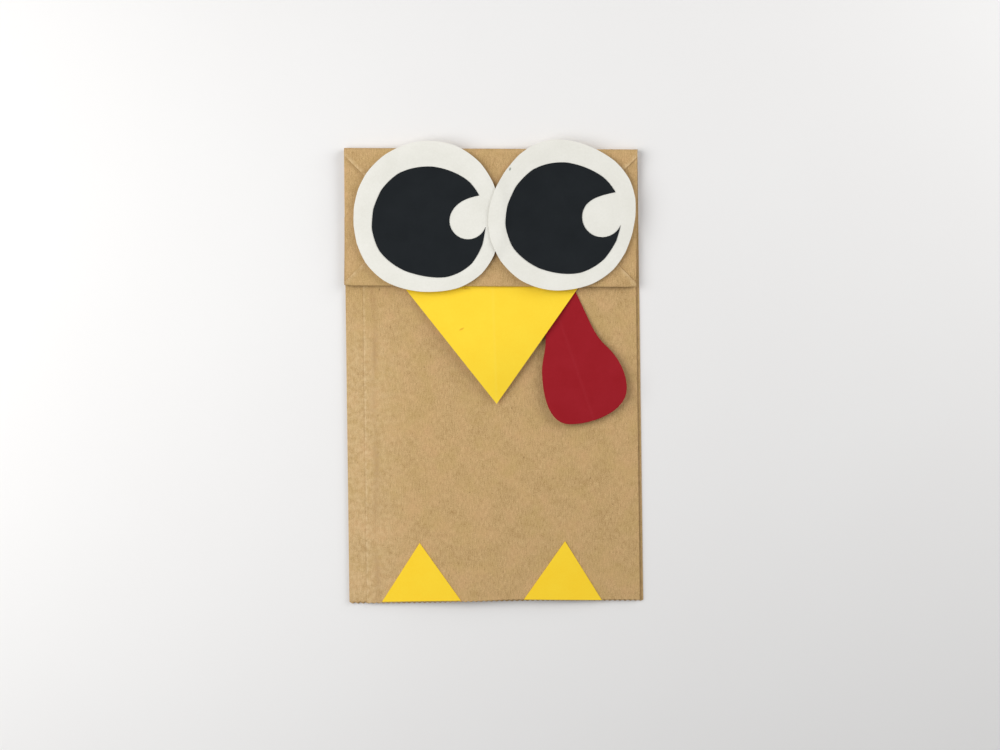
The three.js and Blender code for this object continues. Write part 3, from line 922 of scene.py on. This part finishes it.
for side in ("left", "right"):
    low, high = eye_boxes[side]
    eye = paper(
        "eye_" + side, eye_cut(side), steps(low[0], high[0], 2.0), steps(low[1], high[1], 2.0),
        lambda x, y, side=side: (x, y, eye_height(side, x, y)), WHITE_PAPER, CARD_THICKNESS)
    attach(eye, "head")
    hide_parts("eye_white_" + side)


# ---- Pupils ----
# Rounds of black construction paper pasted on the whites. The highlight is a bite cut out of each with the
# scissors, so the white shows through: round inside, running out straight to the upper point.
BLACK_PAPER = construction_paper("black_construction_paper", "#181C1F", "#1E2225", 0.9)
PUPIL_CUT = {
    "left": [(2, 0.58, -0.95), (3, 0.32, -2.7), (4, 0.39, 2.4)],
    "right": [(2, 0.47, -0.15), (3, 0.05, -2.3), (4, 0.35, 1.8)],
}
PUPIL_NUDGE = {"left": (0.3, -0.1), "right": (0.05, 0.05)}
NOTCH_MIDDLE = {"left": (17.4, 0.7), "right": (17.4, 0.6)}
NOTCH_TIPS = {"left": (-5, 28), "right": (-7, 26.5)}
NOTCH_TURN = -210
PUPIL_SNIPS = 13
PUPIL_OVER_WHITE = 0.04


def curve_points(corners, count):
    """Points along a curve from the first corner to the last, drawn towards the two between."""
    a, b, c, d = (np.array(p, float) for p in corners)
    found = []
    for i in range(count):
        t = i / count
        found.append(a * (1 - t) ** 3 + 3 * b * t * (1 - t) ** 2 + 3 * c * t * t * (1 - t) + d * t ** 3)
    return found


def facing(angle):
    """A step of length one in that direction."""
    return np.array([math.cos(angle), math.sin(angle)])


def pupil_cut(side):
    """The pupil's outline: round the rim from the upper tip to the lower, then back along the bite."""
    (x0, y0, _), (x1, y1, _) = box_mm("pupil_" + side)
    wobble = [(waves, high / 25, phase) for waves, high, phase in PUPIL_CUT[side]]
    around = np.linspace(0, 2 * math.pi, 360)
    size = scissor_radius(around, 1.0, wobble, PUPIL_SNIPS)
    top, bottom = (size * np.sin(around)).max(), (size * np.sin(around)).min()
    scale = 1.008 * (y1 - y0) / (top - bottom)
    middle = np.array([x0 - scale * (size * np.cos(around)).min(), y0 - scale * bottom]) + PUPIL_NUDGE[side]

    def on_rim(angle):
        return scale * scissor_radius(angle, 1.0, wobble, PUPIL_SNIPS) * facing(angle)

    low_tip, high_tip = (math.radians(a) for a in NOTCH_TIPS[side])
    notch = np.array(NOTCH_MIDDLE[side])
    start = on_rim(low_tip) - notch
    radius = np.linalg.norm(start)
    leaves = math.radians(NOTCH_TURN)
    parting = notch + radius * facing(leaves)
    end = on_rim(high_tip)
    points = [on_rim(a) for a in np.linspace(high_tip, low_tip + 2 * math.pi, 100)]
    turns = np.linspace(math.atan2(start[1], start[0]), leaves, 30)[1:-1]
    points += [notch + radius * facing(a) for a in turns]
    points += curve_points((parting, parting + 4.5 * facing(math.radians(60)),
                            end - 6.2 * facing(math.radians(10)), end), 14)
    return [tuple((middle + p).tolist()) for p in points]


for side in ("left", "right"):
    low, high = box_mm("pupil_" + side)
    pupil = paper(
        "eye_pupil_" + side, pupil_cut(side), steps(low[0], high[0], 2.0), steps(low[1], high[1], 2.0),
        lambda x, y, side=side: (x, y, eye_height(side, x, y) + CARD_THICKNESS + PUPIL_OVER_WHITE),
        BLACK_PAPER, CARD_THICKNESS)
    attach(pupil, "head")
    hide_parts("pupil_" + side)


# ---- Beak ----
# A triangle of yellow construction paper, folded once down its middle and opened again, so that it stands in
# a low ridge. Its top is pasted under the lip, and its sides and tip stand clear of the body.
# crease line: painted highlight; first mark, a thin darker orange line along the top under the lip and left
# eye: painted shadow; second: a real scuff
BEAK_PAPER = construction_paper(
    "yellow_construction_paper", "#FFDB3A", "#FED533", 0.8, crease=("X", "#FFE45C"),
    scuffs_and_painted_shadow=[("#D9A136", (-12.2, 37.3), -4, 5.4, 1.0), ("#E8A428", (-14.6, 19.0), 28, 3.4, 1.0)])
BEAK_LEVEL = 2.2
BEAK_RIDGE = 1.3
BEAK_STAND = 3.0
BEAK_SPREAD = 1.3
BEAK_TIP_ASIDE = 1.9
beak_low, beak_high = box_mm("beak")
beak_top_x = (beak_low[0] + beak_high[0]) / 2
beak_tip_x = beak_top_x + BEAK_TIP_ASIDE


def beak_crease(y):
    """Where the crease is at that height: it runs from the tip to the middle of the top."""
    return beak_tip_x + (beak_top_x - beak_tip_x) * (y - beak_low[1]) / (beak_high[1] - beak_low[1])


def beak_half(y):
    """Half the beak's width at that height."""
    return (beak_high[0] - beak_low[0]) / 2 * (y - beak_low[1]) / (beak_high[1] - beak_low[1])


def beak_shape(q, y):
    """q is measured across from the crease."""
    down = np.clip((lip_edge - y) / (lip_edge - beak_low[1]), 0.0, 1.0)
    out = np.abs(q) / np.maximum(beak_half(y), 0.5)
    ridge = BEAK_RIDGE * np.sin(np.pi * np.clip(down * 1.05, 0, 1)) * (1 - np.clip(out, 0, 1))
    stand = BEAK_STAND * np.sin(np.pi * down * 0.82)
    return q + beak_crease(y), y, BEAK_LEVEL + ridge + stand


beak_reach = (beak_high[0] - beak_low[0]) / 2
beak_outline = [(0.0, beak_low[1]), (beak_reach, beak_high[1]), (-beak_reach - BEAK_SPREAD, beak_high[1])]
beak_columns = sorted([0.0, 0.25, -0.25] + [s * q for s in (1, -1) for q in steps(2.0, beak_reach, 2.0)])
beak_piece = paper("beak_triangle", beak_outline, beak_columns, steps(beak_low[1] + 1, beak_high[1], 2.0),
                   beak_shape, BEAK_PAPER, CARD_THICKNESS)
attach(beak_piece, "head")
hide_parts("beak")


# ---- Wattle ----
# A drop of dark red construction paper, cut freehand and creased lengthwise. Its thin top is pasted to the
# underside of the beak near the right corner, and its round end hangs free. Its cut and its crease are
# measured from the lower left corner of its box.
# the paler line along the wattle's crease is a painted highlight
RED_PAPER = construction_paper("red_construction_paper", "#97151F", "#9E1C27", 0.8, crease=("Y", "#AA2F38"))
WATTLE_LEVEL = 1.93
WATTLE_LENGTH = 62.0
WATTLE_STAND = 2.4
WATTLE_VALLEY = 0.9
WATTLE_CREASE = ((9.0, 43.8), (22.9, 3.3))
WATTLE_CUT = [
    ((14.6, 60.8), (9.4, 51.8), (1.4, 45.8), (1.6, 38.8)),
    ((1.6, 38.8), (1.9, 32.8), (-0.2, 28.8), (0.0, 22.8)),
    ((0.0, 22.8), (0.4, 11.8), (3.4, 0.0), (12.4, 0.0)),
    ((12.4, 0.0), (22.4, -0.2), (38.8, 5.8), (38.1, 16.8)),
    ((38.1, 16.8), (37.7, 25.8), (32.4, 31.8), (29.4, 34.8)),
    ((29.4, 34.8), (23.4, 39.8), (22.0, 45.8), (14.6, 60.8)),
]
wattle_corner = np.array(box_mm("wattle")[0][:2])
crease_foot = wattle_corner + WATTLE_CREASE[0]
crease_way = wattle_corner + WATTLE_CREASE[1] - crease_foot
crease_way = crease_way / np.linalg.norm(crease_way)
crease_side = np.array([-crease_way[1], crease_way[0]])


def wattle_shape(p, q):
    """p is measured along the crease and q across it."""
    x = crease_foot[0] + p * crease_way[0] + q * crease_side[0]
    y = crease_foot[1] + p * crease_way[1] + q * crease_side[1]
    hang = np.clip((lip_edge - y) / WATTLE_LENGTH, 0.0, 1.0)
    rise = WATTLE_VALLEY * np.clip(np.abs(q) / 16.0, 0, 1.3) * smooth_step(hang * 2)
    return x, y, WATTLE_LEVEL + WATTLE_STAND * smooth_step(hang * 1.2) + rise


wattle_edge = [wattle_corner + p for curve in WATTLE_CUT for p in curve_points(curve, 12)]
wattle_outline = [(float((p - crease_foot) @ crease_way), float((p - crease_foot) @ crease_side))
                  for p in wattle_edge]
wattle_piece = paper("wattle_drop", wattle_outline, steps(-25, 50, 2.0),
                     sorted([0.0, 0.25, -0.25] + steps(2.0, 30, 2.0) + steps(-30, -2.0, 2.0)),
                     wattle_shape, RED_PAPER, CARD_THICKNESS)
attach(wattle_piece, "head")
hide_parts("wattle")


# ---- Feet ----
# Two triangles of the same yellow paper, pasted flat on the front with their bases along the open end. They
# were cut by eye, so each base has one corner a little raised, and each peak is off the middle.
FOOT_PASTE = 0.3
FOOT_RAISED = {"left": (0.0, 0.7), "right": (0.4, 0.0)}
FOOT_PEAK = {"left": 17.0, "right": 18.6}
# the feet's yellow is a shade deeper than the beak's, though the paper is the same: painted shade for the
# dimmer light near the open end
FEET_YELLOW_PAINTED_SHADE = construction_paper("yellow_construction_paper_feet_painted_shade", "#FFD836", "#FED22E", 0.8)
for side in ("left", "right"):
    low, high = box_mm("foot_" + side)
    raised = FOOT_RAISED[side]
    peak = (low[0] + FOOT_PEAK[side], high[1])
    corners = [(low[0], low[1] + raised[0]), (high[0], low[1] + raised[1]), peak]
    foot = paper(
        "foot_triangle_" + side, corners, steps(low[0], high[0], 2.0), steps(low[1] + 1, high[1] - 1, 2.0),
        lambda x, y: (x, y, front_height(x - FRONT_ASIDE, y) + FOOT_PASTE), FEET_YELLOW_PAINTED_SHADE, CARD_THICKNESS)
    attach(foot, "front")
    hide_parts("foot_" + side)
